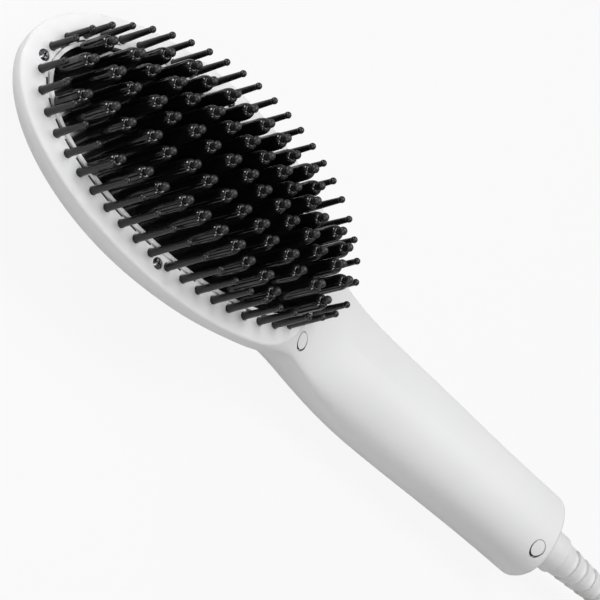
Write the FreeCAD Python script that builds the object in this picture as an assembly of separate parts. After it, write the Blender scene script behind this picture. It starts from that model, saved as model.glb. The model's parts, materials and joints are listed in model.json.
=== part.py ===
import FreeCAD, Part
import math
import os

# Heated straightening brush lying on its back: +X runs along the handle to the tip of the head,
# +Z is the way the bristles point, and Z = 0 is the surface it rests on. Sizes are in millimetres.

# Casing
OVERALL_LENGTH = 247.4
HEAD_SEMI_LENGTH = 65.2
HEAD_SEMI_WIDTH = 34.6
DECK_HEIGHT = 34.0
DECK_ARCH_RADIUS = 614.0
EQUATOR_DROP = 0.9
CROWN_RISE = 11.75
GRIP_AXIS_HEIGHT = 13.0
GRIP_TOP_HEIGHT = 25.1
GRIP_BELLY_HALF_WIDTH = 17.6
GRIP_END_HALF_WIDTH = 15.2
GRIP_END_ROUND = 1.2
RIM_ROUND = 0.8
FLAT_SINK = 1.2
HEAD_BOWL_POWER = 1.58
BOWL_TIP_POWER = 1.75
GRIP_ROUND_POWER = 2.14
NECK_BLEND = 6.35
NECK_FRONT = 29.5
NECK_BACK = 112.0
CROWN_FRONT = 24.75
CROWN_BACK = 85.0
BELLY_FROM_TIP = 150.0
WALL = 2.2
ROOM_GAP = 0.15
FLOOR_TOP = 2.4
DECK_THICKNESS = 2.2
PARTING_HEIGHT = 7.0

# Ring of thin pins
PIN_END_INSET = 6.9
PIN_SIDE_INSET = 6.5
PINS_PER_QUARTER = 11
PIN_END_HALF_GAP = 4.1
PIN_SIDE_HALF_GAP = 3.4
PIN_DIAMETER = 2.4
PIN_TOP_DIAMETER = 1.7
PIN_BALL_DIAMETER = 2.1
PIN_LENGTH_MIDDLE = 16.0
PIN_LENGTH_TIP_END = 9.8
PIN_LENGTH_GRIP_END = 13.0
PIN_HOLE_CLEARANCE = 0.15
PIN_FOOT_WEB = 0.3
PIN_BAND_THICKNESS = 1.6
PIN_BAND_HALF_WIDTH = 1.5
PIN_BAND_INNER_WIDTH = 2.2
DASH_LENGTH = 3.3
DASH_WIDTH = 0.8
DASH_INSET = 1.6
DASH_RIB_CLEARANCE = 0.05
DASH_RIB_SINK = 0.1
DASH_RIB_ROOT = 0.5

# Heated field
BEZEL_INSET = 2.3
BEZEL_WIDTH = 1.1
BEZEL_RISE = 0.8
BEZEL_POST_GAP = 0.3
FIELD_CLEARANCE = 0.15
FIELD_RECESS = 1.0
PLATE_FLANGE = 0.9
PLATE_FLANGE_THICKNESS = 2.0
POST_COLUMNS = (16, 15, 10)
POST_END_MARGIN = 2.6
POST_SIDE_MARGIN = 5.6
POST_BASE_DIAMETER = 5.1
POST_BODY_DIAMETER = 4.9
POST_TOP_DIAMETER = 2.5
POST_ROUND_DEPTH = 2.65
POST_TIP_HEIGHT = 21.7
POST_LEAN = 1.45
POST_END_DROP = 6.8
POST_SIDE_DROP = 3.9
POST_CORNER_DROP = 11.0
POST_STAGGER = 2.35
POST_STAGGER_REACH = 20.0
TIP_BALL_DIAMETER = 2.6
TIP_NECK_DIAMETER = 1.6
TIP_NECK_LENGTH = 0.25
TIP_STEM_DIAMETER = 1.0
TIP_STEM_LENGTH = 2.0
TIP_STEM_CLEARANCE = 0.05

# Heater stack under the plate
CARRIER_WIDTH = 8.0
CARRIER_THICKNESS = 2.0
CARRIER_GAP = 0.2
HEATER_LENGTH = 76.0
HEATER_WIDTH = 11.0
HEATER_THICKNESS = 2.8
HEATER_SPACING = 18.0
MICA_THICKNESS = 0.5
CLAMP_THICKNESS = 1.0
CLAMP_EDGE = 3.0
CLAMP_SCREW_OVERHANG = 8.0
CLAMP_BOSS_DIAMETER = 5.0
CLAMP_SCREW_DIAMETER = 2.2
CLAMP_SCREW_HEAD_DIAMETER = 4.2
CLAMP_SCREW_HEAD_HEIGHT = 1.5
CLAMP_SCREW_SLACK = 0.2
THERMISTOR_DIAMETER = 3.0
FUSE_DIAMETER = 4.0
FUSE_LENGTH = 12.0
FUSE_OFFSET = 9.0
FUSE_LEAD_LENGTH = 6.0

# Rim screws
RIM_SCREW_DIAMETER = 1.8
RIM_SCREW_HEAD_DIAMETER = 3.3
RIM_SCREW_HEAD_HEIGHT = 1.1
RIM_SCREW_SINK = 0.8
RIM_SCREW_OUTSET = 1.1
RIM_SCREW_CLEARANCE = 0.15
RIM_LUG_DIAMETER = 5.0
CROSS_WIDTH = 0.5
CROSS_LENGTH = 1.9
CROSS_DEPTH = 0.6

# Handle screws and their plugs
NECK_SCREW_FROM_HEAD = 59.1
END_SCREW_FROM_END = 5.5
NECK_SCREW_OFFSET = 13.3
END_SCREW_OFFSET = 9.3
PLUG_DIAMETER = 4.7
PLUG_CLEARANCE = 0.4
PLUG_DEPTH = 2.5
PLUG_SINK = 0.15
PLUG_SHIFT = 0.25
HANDLE_SCREW_DIAMETER = 2.2
HANDLE_SCREW_HEAD_DIAMETER = 4.6
HANDLE_SCREW_HEAD_HEIGHT = 1.8
HANDLE_SCREW_CLEARANCE = 0.15
BOSS_WALL = 0.9
NECK_BOSS_SPLIT = 18.0
NECK_SCREW_POINT = 14.0
END_SCREW_POINT = 3.2
NECK_RIB_START = 2.5
NECK_RIB_FOOT = 6.5
NECK_RIB_THICKNESS = 2.4
NECK_RIB_GAP = 0.3

# Controls on the back of the handle
PANEL_RECESS = 0.5
PANEL_WIDTH = 13.0
PANEL_START_FROM_END = 35.0
PANEL_LENGTH = 64.0
POWER_FROM_END = 42.5
PLUS_FROM_END = 53.5
MINUS_FROM_END = 63.0
DISPLAY_FROM_END = 81.5
POWER_BUTTON_DIAMETER = 8.6
TEMPERATURE_BUTTON_DIAMETER = 7.0
BUTTON_CLEARANCE = 0.3
BUTTON_PROUD = 0.3
BUTTON_FLANGE = 0.9
BUTTON_FLANGE_THICKNESS = 0.8
BUTTON_REST_GAP = 0.05
BUTTON_TRAVEL = 0.6
BUTTON_STEM_DIAMETER = 3.0
BUTTON_STEM_LENGTH = 0.9
SWITCH_GAP = 0.7
SWITCH_SIDE = 6.0
SWITCH_BODY = 3.5
SWITCH_PLUNGER = 0.7
SWITCH_PLUNGER_DIAMETER = 3.4
WINDOW_LENGTH = 24.0
WINDOW_WIDTH = 10.4
WINDOW_THICKNESS = 1.2
WINDOW_LEDGE = 1.2
WINDOW_CLEARANCE = 0.1
DISPLAY_CLEARANCE = 0.3
BOARD_START_FROM_END = 34.0
BOARD_LENGTH = 58.0
BOARD_WIDTH = 22.0
BOARD_THICKNESS = 1.6
STANDOFF_DIAMETER = 4.6
STANDOFF_INSET = 2.6
BOARD_SCREW_DIAMETER = 1.8
BOARD_SCREW_HEAD_DIAMETER = 3.6
BOARD_SCREW_HEAD_HEIGHT = 1.4
BOARD_SCREW_BITE = 5.0
RELAY_SIZE = (15.0, 10.0, 10.0)
RELAY_FROM_END = 60.0
CAPACITOR_DIAMETER = 8.0
CAPACITOR_LENGTH = 14.0
CAPACITOR_FROM_END = 76.5
TERMINAL_SIZE = (8.0, 16.0, 6.0)

# Turning cord joint at the end of the handle
SWIVEL_COLLAR_DIAMETER = 13.6
SWIVEL_COLLAR_LENGTH = 11.0
SWIVEL_COLLAR_ROUND = 0.6
SWIVEL_COLLAR_ENTRY = 1.4
SWIVEL_COLLAR_GAP = 0.4
SWIVEL_JOURNAL_DIAMETER = 10.8
SWIVEL_RUNNING_GAP = 0.05
SWIVEL_END_GAP = 0.3
SWIVEL_FLANGE_DIAMETER = 14.0
SWIVEL_FLANGE_THICKNESS = 2.4
BUSH_WALL = 2.5
BUSH_LENGTH = 11.0
SADDLE_WALL = 2.6
RELIEF_LENGTH = 34.0
RELIEF_ROOT_DIAMETER = 12.0
RELIEF_TIP_DIAMETER = 7.6
RELIEF_GROOVES = 6
RELIEF_GROOVE_WIDTH = 2.2
RELIEF_GROOVE_DEPTH = 0.9
SPINDLE_DIAMETER = 5.0
SPINDLE_LENGTH = 12.0
SLIP_RING_DIAMETER = 7.0
SLIP_RING_WIDTH = 2.4
SLIP_RING_GAP = 2.6
CONTACT_GAP = 0.3
CONTACT_THICKNESS = 0.4
CONTACT_WIDTH = 2.0
HOLDER_HEIGHT = 5.0
HOLDER_WIDTH = 15.0

# Wiring
MAINS_WIRE_DIAMETER = 1.8
HEATER_WIRE_DIAMETER = 1.6
SENSOR_WIRE_DIAMETER = 1.0

# Mains lead: a neat two-layer coil, a loose tail and a round two-pin plug
CORD_DIAMETER = 6.0
CORD_FLOOR_GAP = 0.85
PLUG_FLOOR_GAP = 0.05
COIL_TURNS_PER_LAYER = 3
COIL_PITCH = 6.9
COIL_LAYER_RISE = 6.5
COIL_INNER_RADIUS = 24.0
COIL_TURN_BACK = 0.12
COIL_FROM_EXIT = 100.0
CORD_STRAIGHT = 15.0
TAIL_RUN = 57.0
TAIL_ASIDE = 9.5
COIL_SPAN_DEGREES = 90.0
TIE_WIDTH = 9.0
TIE_THICKNESS = 0.5
TIE_GAP = 0.3
TIE_ROUND = 2.0
PLUG_BODY_LENGTH = 34.0
PLUG_BODY_DIAMETER = 17.0
PLUG_FACE_DIAMETER = 26.0
PLUG_PIN_DIAMETER = 4.0
PLUG_PIN_LENGTH = 19.0
PLUG_PIN_SPACING = 18.6

V = FreeCAD.Vector
X_AXIS = V(1, 0, 0)
Y_AXIS = V(0, 1, 0)
Z_AXIS = V(0, 0, 1)
FAR = 400.0

HEAD_X = OVERALL_LENGTH / 2 - HEAD_SEMI_LENGTH
END_X = -OVERALL_LENGTH / 2
RING = (HEAD_SEMI_LENGTH - PIN_END_INSET, HEAD_SEMI_WIDTH - PIN_SIDE_INSET)
BEZEL_OUTER = (RING[0] - BEZEL_INSET, RING[1] - BEZEL_INSET)
BEZEL_INNER = (BEZEL_OUTER[0] - BEZEL_WIDTH, BEZEL_OUTER[1] - BEZEL_WIDTH)
FIELD = (BEZEL_INNER[0] - FIELD_CLEARANCE, BEZEL_INNER[1] - FIELD_CLEARANCE)
FLANGE = (BEZEL_INNER[0] + PLATE_FLANGE, BEZEL_INNER[1] + PLATE_FLANGE)

# Levels of the head's layers, measured down from the arched deck
PIN_BAND_TOP = -DECK_THICKNESS
PIN_BAND_BOTTOM = PIN_BAND_TOP - PIN_BAND_THICKNESS
PIN_FOOT = PIN_BAND_BOTTOM + PIN_FOOT_WEB
DECK_HOLE_BOTTOM = -2.5 * DECK_THICKNESS
FLANGE_TOP = PIN_BAND_BOTTOM
FLANGE_BOTTOM = FLANGE_TOP - PLATE_FLANGE_THICKNESS
CARRIER_BOTTOM = FLANGE_BOTTOM - CARRIER_THICKNESS
HEATER_BOTTOM = FLANGE_BOTTOM - HEATER_THICKNESS
MICA_BOTTOM = HEATER_BOTTOM - MICA_THICKNESS
CLAMP_BOTTOM = MICA_BOTTOM - CLAMP_THICKNESS

# Levels of the control stack, measured up from the resting plane
BUTTON_FLANGE_BASE = FLOOR_TOP + BUTTON_REST_GAP
BUTTON_STEM_TOP = BUTTON_FLANGE_BASE + BUTTON_FLANGE_THICKNESS + BUTTON_STEM_LENGTH
SWITCH_BASE = BUTTON_STEM_TOP + SWITCH_GAP
BOARD_BASE = SWITCH_BASE + SWITCH_PLUNGER + SWITCH_BODY
BOARD_TOP = BOARD_BASE + BOARD_THICKNESS

# Stations of the turning joint, measured from the end of the handle
BUSH_BACK = END_X + WALL
BUSH_FRONT = BUSH_BACK + BUSH_LENGTH
BUSH_RADIUS = SWIVEL_JOURNAL_DIAMETER / 2 + SWIVEL_RUNNING_GAP + BUSH_WALL
SWIVEL_FLANGE_X = BUSH_FRONT + SWIVEL_END_GAP
SPINDLE_X = SWIVEL_FLANGE_X + SWIVEL_FLANGE_THICKNESS
RELIEF_X = END_X - SWIVEL_COLLAR_LENGTH
CORD_EXIT_X = RELIEF_X - RELIEF_LENGTH
BOARD_X = END_X + BOARD_START_FROM_END


def ease(value, start, stop):
    """Smooth step from 0 at start to 1 at stop."""
    t = min(1.0, max(0.0, (value - start) / (stop - start)))
    return t * t * t * (10 - 15 * t + 6 * t * t)


def mix(first, second, share):
    return first + (second - first) * share


def arch_height(u, level=0.0):
    """Height of the arched layer that lies level above the deck, u along X from the head's middle."""
    radius = DECK_ARCH_RADIUS + level
    return DECK_HEIGHT - DECK_ARCH_RADIUS + math.sqrt(radius * radius - u * u)


def box(x0, x1, y0, y1, z0, z1):
    return Part.makeBox(x1 - x0, y1 - y0, z1 - z0, V(x0, y0, z0))


def rod(x, y, z0, z1, diameter):
    return Part.makeCylinder(diameter / 2, z1 - z0, V(x, y, z0), Z_AXIS)


def turned(points, base, axis):
    """Solid of revolution from (radius, distance) points about an axis through base."""
    side = Y_AXIS if abs(axis.x) > 0.5 else X_AXIS
    corners = [base + side * radius + axis * along for radius, along in points]
    face = Part.Face(Part.makePolygon(corners + corners[:1]))
    return face.revolve(base, axis, 360)


def oval_prism(semi_axes, z0, z1):
    ellipse = Part.Ellipse(V(HEAD_X, 0, z0), semi_axes[0], semi_axes[1])
    return Part.Face(Part.Wire([ellipse.toShape()])).extrude(V(0, 0, z1 - z0))


def arch_slab(low, high, u0=-CROWN_BACK, u1=HEAD_SEMI_LENGTH + 10, half_width=HEAD_SEMI_WIDTH + 10):
    """Arched layer of the head between two levels."""

    def arc(level):
        middle = (u0 + u1) / 2
        ends = [V(HEAD_X + u, -half_width, arch_height(u, level)) for u in (u0, middle, u1)]
        return Part.Arc(*ends).toShape()

    upper = arc(high)
    lower = arc(low)
    starts = Part.LineSegment(lower.Vertexes[0].Point, upper.Vertexes[0].Point).toShape()
    stops = Part.LineSegment(upper.Vertexes[-1].Point, lower.Vertexes[-1].Point).toShape()
    face = Part.Face(Part.Wire([starts, upper, stops, lower]))
    return face.extrude(V(0, 2 * half_width, 0))


def oval_layer(semi_axes, low, high):
    """Oval plate of the head that follows the deck's arch."""
    return oval_prism(semi_axes, 0, DECK_HEIGHT + CROWN_RISE).common(arch_slab(low, high))


def oval_ring(outer, inner, low, high):
    return oval_layer(outer, low, high).cut(oval_prism(inner, -FAR, FAR))


def inset(semi_axes, distance):
    return (semi_axes[0] - distance, semi_axes[1] - distance)


def casing_section(u, offset, steps=22):
    """Half of the casing's cross-section at u, from the lowest to the highest point."""
    length = HEAD_SEMI_LENGTH - offset
    neck = ease(-u, NECK_FRONT, NECK_BACK)
    ahead = min(1.0, max(0.0, u) / length)
    middle = mix(arch_height(u) - EQUATOR_DROP, GRIP_AXIS_HEIGHT, neck)
    rounding = math.sqrt(1 - ahead * ahead)
    crown = middle + (CROWN_RISE + EQUATOR_DROP) * rounding ** 0.7
    top = mix(crown, GRIP_TOP_HEIGHT, ease(-u, CROWN_FRONT, CROWN_BACK)) - offset * rounding
    depth = (middle + FLAT_SINK - offset) * (1 - ahead ** BOWL_TIP_POWER) ** (1 / BOWL_TIP_POWER)
    head = (HEAD_SEMI_WIDTH - offset) * math.sqrt(max(0.0, 1 - (u / length) ** 2))
    belly = ease(HEAD_SEMI_LENGTH - u, BELLY_FROM_TIP, OVERALL_LENGTH)
    grip = mix(GRIP_BELLY_HALF_WIDTH, GRIP_END_HALF_WIDTH, belly) - offset
    grip = grip * ease(-u, 0, NECK_FRONT + 22)
    half_width = (head ** NECK_BLEND + grip ** NECK_BLEND) ** (1 / NECK_BLEND)
    upper_power = mix(2.0, GRIP_ROUND_POWER, neck)
    lower_power = mix(HEAD_BOWL_POWER, GRIP_ROUND_POWER, neck)
    points = []
    for i in range(steps + 1):
        angle = math.pi * (i / steps - 0.5)
        rise = math.sin(angle)
        power = upper_power if rise >= 0 else lower_power
        reach = top - middle if rise >= 0 else depth
        y = half_width * abs(math.cos(angle)) ** (2 / power) if 0 < i < steps else 0.0
        z = middle + reach * math.copysign(abs(rise) ** (2 / power), rise)
        points.append(V(HEAD_X + u, y, z))
    return points


def casing_form(offset):
    """Closed outer form of the casing, or the same form set in by offset."""
    length = HEAD_SEMI_LENGTH - offset
    stations = [length * math.cos(math.radians(a)) for a in (5, 10, 16, 23, 31, 40, 50, 60, 70, 80, 90)]
    back = END_X - HEAD_X + offset
    steps = 22
    stations += [back * i / steps for i in range(1, steps + 1)]
    sections = [casing_section(u, offset) for u in stations]
    surface = Part.BSplineSurface()
    surface.interpolate(sections)
    side = surface.toShape()
    sides = [side, side.mirror(V(0, 0, 0), Y_AXIS)]
    faces = list(sides)
    for section in (sections[0], sections[-1]):
        x = section[0].x
        edges = [e for s in sides for e in s.Edges if all(abs(v.X - x) < 1e-3 for v in e.Vertexes)]
        faces.append(Part.Face(Part.Wire(Part.__sortEdges__(edges))))
    skin = Part.Compound(faces)
    skin.sewShape()
    solid = Part.Solid(skin.Shells[0])
    if solid.Volume < 0:
        solid.reverse()
    return solid


def rounded_casing():
    form = casing_form(0.0)
    ends = [e for e in form.Edges if all(abs(v.X - END_X) < 1e-3 for v in e.Vertexes)]
    return form.makeFillet(GRIP_END_ROUND, ends)


def surface_height(form, x, y):
    """Height of the top of a form over a point."""
    line = Part.makeLine(V(x, y, GRIP_AXIS_HEIGHT), V(x, y, FAR))
    inside = form.common(line)
    return max(v.Z for v in inside.Vertexes)


def quarter_ellipse(semi_axes, samples=720):
    """Running length along a quarter of an oval from its end to its side, as (length, x, y)."""
    table = [(0.0, semi_axes[0], 0.0)]
    for i in range(1, samples + 1):
        angle = math.pi / 2 * i / samples
        x = semi_axes[0] * math.cos(angle)
        y = semi_axes[1] * math.sin(angle)
        last = table[-1]
        table.append((last[0] + math.hypot(x - last[1], y - last[2]), x, y))
    return table


def along_quarter(table, distance):
    for low, high in zip(table, table[1:]):
        if high[0] >= distance:
            share = (distance - low[0]) / (high[0] - low[0])
            return (mix(low[1], high[1], share), mix(low[2], high[2], share))
    return table[-1][1:]


def pin_places():
    """Foot of every thin pin, as (u, y) from the head's middle, evenly spaced between the rim screws."""
    table = quarter_ellipse(RING)
    run = table[-1][0] - PIN_END_HALF_GAP - PIN_SIDE_HALF_GAP
    step = run / (PINS_PER_QUARTER - 1)
    places = []
    for i in range(PINS_PER_QUARTER):
        u, y = along_quarter(table, PIN_END_HALF_GAP + i * step)
        places += [(u, y), (u, -y), (-u, y), (-u, -y)]
    return places


def dash_places(distance):
    """Middle and heading of each dash, one between each pair of pins, at a distance inside their line."""
    table = quarter_ellipse(inset(RING, distance))
    ring_length = quarter_ellipse(RING)[-1][0]
    scale = table[-1][0] / ring_length
    step = (ring_length - PIN_END_HALF_GAP - PIN_SIDE_HALF_GAP) / (PINS_PER_QUARTER - 1)
    places = []
    for i in range(PINS_PER_QUARTER - 1):
        middle = (PIN_END_HALF_GAP + (i + 0.5) * step) * scale
        u0, y0 = along_quarter(table, middle - 0.2)
        u1, y1 = along_quarter(table, middle + 0.2)
        heading = math.degrees(math.atan2(y1 - y0, u1 - u0))
        u, y = (u0 + u1) / 2, (y0 + y1) / 2
        places += [(u, y, heading), (u, -y, -heading), (-u, y, 180 - heading), (-u, -y, heading - 180)]
    return places


def dash_blocks(near, far, length, low, high):
    """Blocks of the dashes between two distances inside the pins' line, and between two levels."""
    blocks = []
    half = length / 2
    reach = (far - near) / 2
    for u, y, heading in dash_places((near + far) / 2):
        block = box(-half, half, -reach, reach, arch_height(u, low), arch_height(u, high))
        block.rotate(V(0, 0, 0), Z_AXIS, heading)
        block.translate(V(HEAD_X + u, y, 0))
        blocks.append(block)
    return blocks


def rim_screw_places():
    end = RING[0] + RIM_SCREW_OUTSET / 2
    side = RING[1] + RIM_SCREW_OUTSET
    return [(end, 0.0), (-end, 0.0), (0.0, side), (0.0, -side)]


NECK_SCREW = (HEAD_X - NECK_SCREW_FROM_HEAD, NECK_SCREW_OFFSET)
END_SCREW = (END_X + END_SCREW_FROM_END, END_SCREW_OFFSET)


def handle_screw_places():
    """Place of each handle screw, the level that its boss is split at and the level of its point."""
    return [(NECK_SCREW, NECK_BOSS_SPLIT, NECK_SCREW_POINT), (END_SCREW, PARTING_HEIGHT, END_SCREW_POINT)]


def post_places():
    """Foot and ball height of each heated post: columns are staggered by half a row."""
    row_pitch = (FIELD[0] - POST_END_MARGIN) / ((POST_COLUMNS[0] - 1) / 2)
    column_pitch = (FIELD[1] - POST_SIDE_MARGIN) / (len(POST_COLUMNS) - 1)
    places = []
    for column, count in enumerate(POST_COLUMNS):
        y = column * column_pitch
        for row in range(count):
            u = ((count - 1) / 2 - row) * row_pitch
            from_end = min(row, count - 1 - row)
            along = u / FIELD[0]
            across = y / FIELD[1]
            height = DECK_HEIGHT + POST_TIP_HEIGHT - POST_LEAN * along
            height -= POST_END_DROP * along ** 2 + POST_SIDE_DROP * across ** 2
            height -= POST_CORNER_DROP * (along * across) ** 2
            if from_end % 2 == 0:
                height -= POST_STAGGER * min(1.0, abs(u) / POST_STAGGER_REACH)
            places.append((u, y, height))
            if column:
                places.append((u, -y, height))
    return places


def route_wire(points):
    """Straight runs joined by the largest tangent arcs that their runs allow."""
    edges = []
    radii = []
    start = points[0]
    for before, corner, after in zip(points, points[1:], points[2:]):
        into = (corner - before).normalize()
        out = (after - corner).normalize()
        shorter = min((corner - before).Length, (after - corner).Length)
        trim = 0.45 * shorter
        half_turn = into.getAngle(out) / 2
        first = corner - into * trim
        last = corner + out * trim
        radius = trim / math.tan(half_turn)
        bisector = (out - into).normalize()
        middle = corner + bisector * (radius / math.cos(half_turn) - radius)
        edges.append(Part.LineSegment(start, first).toShape())
        edges.append(Part.Arc(first, middle, last).toShape())
        radii.append(round(radius, 1))
        start = last
    edges.append(Part.LineSegment(start, points[-1]).toShape())
    return Part.Wire(edges), radii


def tube(points, diameter, name):
    """Round tube along a route, with its volume compared with section times length."""
    wire, radii = route_wire([V(*p) for p in points])
    heading = (V(*points[1]) - V(*points[0])).normalize()
    circle = Part.makeCircle(diameter / 2, V(*points[0]), heading)
    shell = Part.BRepOffsetAPI.MakePipeShell(wire)
    shell.add(Part.Wire([circle]))
    shell.build()
    shell.makeSolid()
    solid = shell.shape()
    expected = math.pi * diameter * diameter / 4 * wire.Length
    ratio = round(solid.Volume / expected, 4)
    print(name, "length", round(wire.Length, 1), "radii", radii, "volume ratio", ratio)
    return solid


def group(solids):
    return Part.Compound(solids)


def swivel_saddle(form):
    """Block in the end of the casing that carries the swivel bush."""
    radius = BUSH_RADIUS + SADDLE_WALL
    centre = V(END_X, 0, GRIP_AXIS_HEIGHT)
    return Part.makeCylinder(radius, WALL + BUSH_LENGTH, centre, X_AXIS).common(form)


BOSS_DIAMETER = PLUG_DIAMETER + 2 * PLUG_CLEARANCE + 2 * BOSS_WALL


def upper_bosses(form):
    bosses = [rod(*place, split, FAR, BOSS_DIAMETER) for place, split, point in handle_screw_places()]
    return [boss.common(form) for boss in bosses]


def lower_bosses(form):
    """Boss at the handle's end, and the neck's boss on a rib that stands on the back's floor."""
    x, y = NECK_SCREW
    half = NECK_RIB_THICKNESS / 2
    low = FLOOR_TOP - 1
    rib = box(x - half, x + half, NECK_RIB_START, y, low, NECK_BOSS_SPLIT - BOSS_WALL)
    column = rod(x, y, low, NECK_BOSS_SPLIT, BOSS_DIAMETER)
    standing = rib.fuse(column).common(casing_form(WALL + NECK_RIB_GAP))
    foot = box(x - half, x + half, NECK_RIB_START, NECK_RIB_FOOT, low, PARTING_HEIGHT - BOSS_WALL)
    end = rod(*END_SCREW, 0, PARTING_HEIGHT, BOSS_DIAMETER)
    return [standing.fuse(foot.common(form)), end.common(form)]


def screw_seat(form, place):
    """Height that a handle screw's head sits at, under its plug."""
    surface = surface_height(form, *place)
    return surface - PLUG_SINK - PLUG_DEPTH - HANDLE_SCREW_HEAD_HEIGHT


def make_casing():
    """Front and back halves of the casing, hollow, with the deck cut to its arch."""
    outer = rounded_casing()
    above_deck = arch_slab(0, FAR / 4)
    inner = casing_form(WALL).cut(arch_slab(-DECK_THICKNESS, FAR / 4))
    inner = inner.common(box(-FAR, FAR, -FAR, FAR, FLOOR_TOP, FAR))
    solid = outer.cut(above_deck)
    rim = [e for f in solid.Faces if f.BoundBox.ZMin > GRIP_TOP_HEIGHT for e in f.Edges]
    solid = solid.makeFillet(RIM_ROUND, rim)
    walls = solid.cut(inner).fuse(swivel_saddle(solid))
    bush = Part.makeCylinder(BUSH_RADIUS, BUSH_LENGTH, V(BUSH_BACK, 0, GRIP_AXIS_HEIGHT), X_AXIS)
    mouth_radius = SWIVEL_COLLAR_DIAMETER / 2 + SWIVEL_COLLAR_GAP
    mouth = Part.makeCylinder(mouth_radius, 2 * WALL, V(END_X - WALL, 0, GRIP_AXIS_HEIGHT), X_AXIS)
    room = bush.fuse(mouth)
    front = walls.common(box(-FAR, FAR, -FAR, FAR, PARTING_HEIGHT, FAR))
    back = walls.common(box(-FAR, FAR, -FAR, FAR, 0, PARTING_HEIGHT))
    front = front.multiFuse(upper_bosses(solid)).cut(room)
    back = back.multiFuse(lower_bosses(solid)).cut(room)
    return solid, front, back


def finish_front_shell(form, front):
    cuts = [oval_layer(inset(BEZEL_OUTER, -FIELD_CLEARANCE), -2 * DECK_THICKNESS, CROWN_RISE)]
    high = DECK_HEIGHT + 1
    for u, y in pin_places():
        low = arch_height(u, DECK_HOLE_BOTTOM)
        cuts.append(rod(HEAD_X + u, y, low, high, PIN_DIAMETER + 2 * PIN_HOLE_CLEARANCE))
    far = DASH_INSET + DASH_WIDTH
    cuts += dash_blocks(DASH_INSET, far, DASH_LENGTH, -1.5 * DECK_THICKNESS, CROWN_RISE)
    for u, y in rim_screw_places():
        deck = arch_height(u)
        low = arch_height(u, DECK_HOLE_BOTTOM)
        cuts.append(rod(HEAD_X + u, y, low, high, RIM_SCREW_DIAMETER + 2 * RIM_SCREW_CLEARANCE))
        head = RIM_SCREW_HEAD_DIAMETER + 2 * RIM_SCREW_CLEARANCE
        cuts.append(rod(HEAD_X + u, y, deck - RIM_SCREW_SINK, high, head))
    for place, split, point in handle_screw_places():
        seat = screw_seat(form, place)
        cuts.append(rod(*place, seat, FAR / 4, PLUG_DIAMETER + 2 * PLUG_CLEARANCE))
        low = point - HANDLE_SCREW_CLEARANCE
        cuts.append(rod(*place, low, seat, HANDLE_SCREW_DIAMETER + 2 * HANDLE_SCREW_CLEARANCE))
    return front.cut(Part.Compound(cuts))


def stadium(x0, x1, width, z0, z1):
    """Slot-shaped block with round ends, along X."""
    radius = width / 2
    solid = box(x0 + radius, x1 - radius, -radius, radius, z0, z1)
    for x in (x0 + radius, x1 - radius):
        solid = solid.fuse(rod(x, 0, z0, z1, width))
    return solid.removeSplitter()


def button_places():
    return {
        "power_button": (END_X + POWER_FROM_END, POWER_BUTTON_DIAMETER),
        "plus_button": (END_X + PLUS_FROM_END, TEMPERATURE_BUTTON_DIAMETER),
        "minus_button": (END_X + MINUS_FROM_END, TEMPERATURE_BUTTON_DIAMETER),
    }


def window_block(length, width, z0, z1):
    x = END_X + DISPLAY_FROM_END
    return box(x - length / 2, x + length / 2, -width / 2, width / 2, z0, z1)


def standoff_places():
    x0 = BOARD_X + STANDOFF_INSET
    x1 = BOARD_X + BOARD_LENGTH - STANDOFF_INSET
    y = BOARD_WIDTH / 2 - STANDOFF_INSET
    return [(x, side * y) for x in (x0, x1) for side in (1, -1)]


def finish_back_shell(back):
    half_wall = casing_form(WALL / 2)
    posts = [rod(x, y, FLOOR_TOP - 1, BOARD_BASE, STANDOFF_DIAMETER) for x, y in standoff_places()]
    back = back.multiFuse([post.common(half_wall) for post in posts])
    panel_x = END_X + PANEL_START_FROM_END
    cuts = [stadium(panel_x, panel_x + PANEL_LENGTH, PANEL_WIDTH, -1, PANEL_RECESS)]
    for x, diameter in button_places().values():
        cuts.append(rod(x, 0, -1, FLOOR_TOP + 1, diameter + 2 * BUTTON_CLEARANCE))
    pocket_top = PANEL_RECESS + WINDOW_THICKNESS
    gap = 2 * WINDOW_CLEARANCE
    cuts.append(window_block(WINDOW_LENGTH + gap, WINDOW_WIDTH + gap, -1, pocket_top))
    sight = 2 * WINDOW_LEDGE
    cuts.append(window_block(WINDOW_LENGTH - sight, WINDOW_WIDTH - sight, -1, FLOOR_TOP + 1))
    for x, y in standoff_places():
        cuts.append(rod(x, y, BOARD_BASE - BOARD_SCREW_BITE, BOARD_BASE, BOARD_SCREW_DIAMETER))
    for place, split, point in handle_screw_places():
        cuts.append(rod(*place, point, split + 1, HANDLE_SCREW_DIAMETER))
    return back.cut(Part.Compound(cuts))


def make_thin_pins():
    """Thin pins with ball ends, standing in the band and through the deck."""
    pins = []
    for u, y in pin_places():
        end_length = PIN_LENGTH_TIP_END if u > 0 else PIN_LENGTH_GRIP_END
        length = mix(PIN_LENGTH_MIDDLE, end_length, (u / RING[0]) ** 2)
        foot = arch_height(u, PIN_FOOT)
        ball = arch_height(u) + length
        deck = arch_height(u)
        root = rod(HEAD_X + u, y, foot, deck, PIN_DIAMETER)
        place = V(HEAD_X + u, y, deck)
        shaft = Part.makeCone(PIN_DIAMETER / 2, PIN_TOP_DIAMETER / 2, ball - deck, place, Z_AXIS)
        knob = Part.makeSphere(PIN_BALL_DIAMETER / 2, V(HEAD_X + u, y, ball))
        pins.append(root.multiFuse([shaft, knob]))
    return group(pins)


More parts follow.
